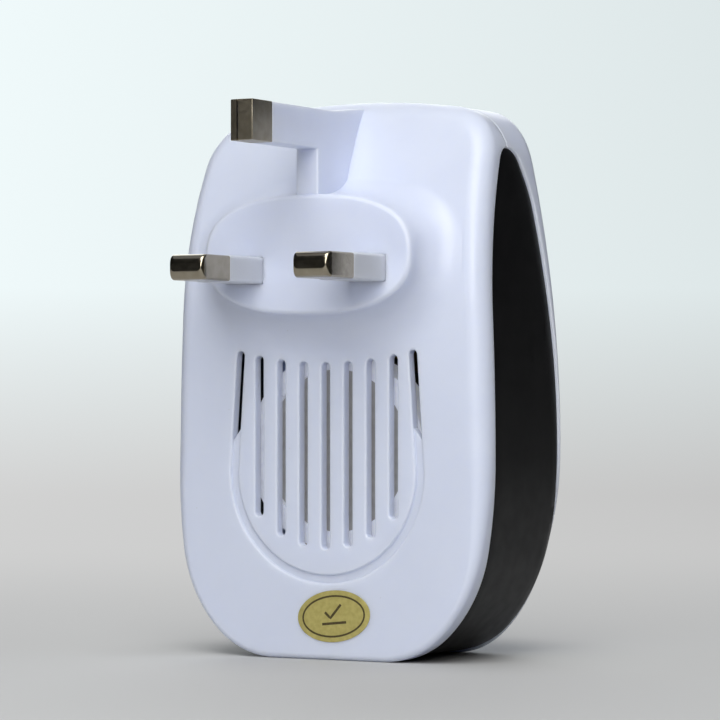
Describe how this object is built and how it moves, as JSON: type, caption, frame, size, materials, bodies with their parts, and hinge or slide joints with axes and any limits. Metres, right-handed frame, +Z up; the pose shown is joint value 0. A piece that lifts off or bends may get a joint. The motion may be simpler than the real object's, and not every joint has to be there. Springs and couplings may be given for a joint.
{
  "type": "plug-in ultrasonic pest repeller",
  "caption": "Small plug-in ultrasonic pest repeller: white domed body with a black side band, a British-style plug and sound slots on its back.",
  "frame": {"origin": "middle of the flat foot that the body stands on", "axes": "+Z up, +Y out of the plug face along the pins, the domed front faces -Y, +X to the right seen from the front"},
  "size_m": [0.0572, 0.0629, 0.0894],
  "materials": {
    "white_shell": "satin moulded white plastic with soft gloss",
    "black_band": "satin black plastic",
    "pin_metal": "nickel-plated brass, lightly tarnished",
    "white_sleeve": "satin white insulation",
    "white_inner": "plain white moulding",
    "steel_screw": "zinc-plated steel",
    "terminal_brass": "pressed brass",
    "brown_insulation": "soft brown wire insulation",
    "blue_insulation": "soft blue wire insulation",
    "red_insulation": "soft red wire insulation",
    "transducer_white": "white moulded rim",
    "diaphragm": "grey-brown diaphragm",
    "black_inner": "black moulding",
    "board": "brown phenolic board",
    "capacitor_yellow": "yellow film capacitor box",
    "capacitor_sleeve": "dark printed sleeve",
    "resistor_green": "green lacquer",
    "resistor_tan": "tan lacquer",
    "coil_copper": "enamelled copper winding",
    "led_red": "red tinted resin",
    "lens_red": "tinted window",
    "sticker_gold": "gold foil sticker with a dark printed ring"
  },
  "bodies": {
    "root": {"rear_shell": "white_shell", "front_shell": "white_shell", "side_band": "black_band", "live_pin": "pin_metal", "neutral_pin": "pin_metal", "live_pin_sleeve": "white_sleeve", "neutral_pin_sleeve": "white_sleeve", "earth_pin_cap": "pin_metal", "pin_retainer": "white_inner", "retainer_screws": "steel_screw", "live_terminal": "terminal_brass", "neutral_terminal": "terminal_brass", "live_lead": "brown_insulation", "neutral_lead": "blue_insulation", "transducer_rim": "transducer_white", "transducer_disc": "diaphragm", "transducer_case": "black_inner", "transducer_leads": "red_insulation", "circuit_board": "board", "board_screws": "steel_screw", "dropper_capacitor": "capacitor_yellow", "smoothing_capacitor": "capacitor_sleeve", "rectifier_diodes": "black_inner", "fuse_resistor": "resistor_green", "resistors": "resistor_tan", "oscillator_chip": "black_inner", "driver_transistors": "black_inner", "output_coil": "coil_copper", "indicator_led": "led_red", "indicator_lens": "lens_red", "inspection_sticker": "sticker_gold"}
  },
  "joints": []
}
